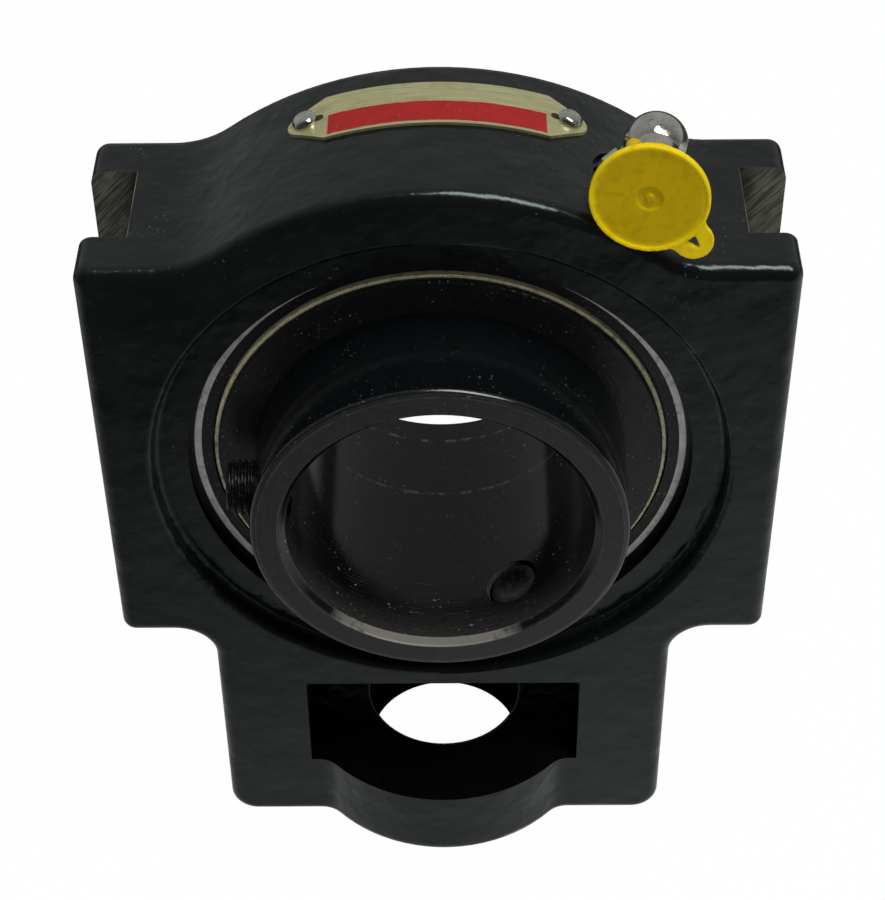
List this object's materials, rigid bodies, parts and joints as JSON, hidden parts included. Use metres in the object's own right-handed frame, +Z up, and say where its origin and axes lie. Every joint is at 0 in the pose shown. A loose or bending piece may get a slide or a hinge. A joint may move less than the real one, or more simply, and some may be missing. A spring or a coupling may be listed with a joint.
{
  "type": "take-up bearing unit",
  "caption": "Take-up bearing unit: a cast housing with guide grooves, a screw hole and nut window, holding a self-aligning ball bearing insert for a shaft.",
  "frame": {"origin": "bearing centre, on the shaft axis midway between the housing's faces", "axes": "+Y along the shaft, from the set-screw side at the front to the back; +Z up, from the screw hole to the crown; +X to the right seen from the front"},
  "size_m": [0.1142, 0.0611, 0.1561],
  "materials": {
    "black_enamel": "black gloss enamel over a sand-cast skin, bare machined guide faces",
    "ground_steel": "ground bearing steel",
    "black_oxide": "black oxide",
    "cage_nylon": "moulded glass-filled nylon",
    "felt": "pressed wool felt",
    "plate_metal": "champagne lacquered strip with a red band",
    "chrome": "bright plated steel",
    "yellow_plastic": "soft moulded polyethylene"
  },
  "bodies": {
    "housing_body": {"housing": "black_enamel", "nameplate": "plate_metal", "drive_pin_left": "chrome", "drive_pin_right": "chrome", "grease_fitting": "chrome"},
    "outer_ring_body": {"outer_ring": "ground_steel", "front_seal_retainer": "black_oxide", "rear_seal_retainer": "black_oxide", "locking_pin": "ground_steel"},
    "inner_ring_body": {"inner_ring": "black_oxide", "front_flinger": "black_oxide", "rear_flinger": "black_oxide", "front_felt_seal": "felt", "rear_felt_seal": "felt", "set_screw_1": "black_oxide", "set_screw_2": "black_oxide"},
    "cage_body": {"cage": "cage_nylon", "ball_01": "ground_steel", "ball_02": "ground_steel", "ball_03": "ground_steel", "ball_04": "ground_steel", "ball_05": "ground_steel", "ball_06": "ground_steel", "ball_07": "ground_steel", "ball_08": "ground_steel", "ball_09": "ground_steel", "ball_10": "ground_steel"},
    "cap_body": {"grease_cap": "yellow_plastic"}
  },
  "joints": [
    {"name": "ring_alignment", "type": "hinge", "parent": "housing_body", "child": "outer_ring_body", "pos_m": [0, 0, 0], "axis": [1, 0, 0], "range_deg": [-2, 2]},
    {"name": "shaft_spin", "type": "hinge", "parent": "outer_ring_body", "child": "inner_ring_body", "pos_m": [0, 0, 0], "axis": [0, 1, 0], "continuous": true},
    {"name": "cage_orbit", "type": "hinge", "parent": "outer_ring_body", "child": "cage_body", "pos_m": [0, 0, 0], "axis": [0, 1, 0], "continuous": true},
    {"name": "cap_pull", "type": "slide", "parent": "housing_body", "child": "cap_body", "axis": [-0.1267, -0.989, 0.0761], "range_m": [0, 0.005]}
  ],
  "couplings": [
    {"joint": "cage_orbit", "follows": "shaft_spin", "ratio": 0.4093}
  ]
}
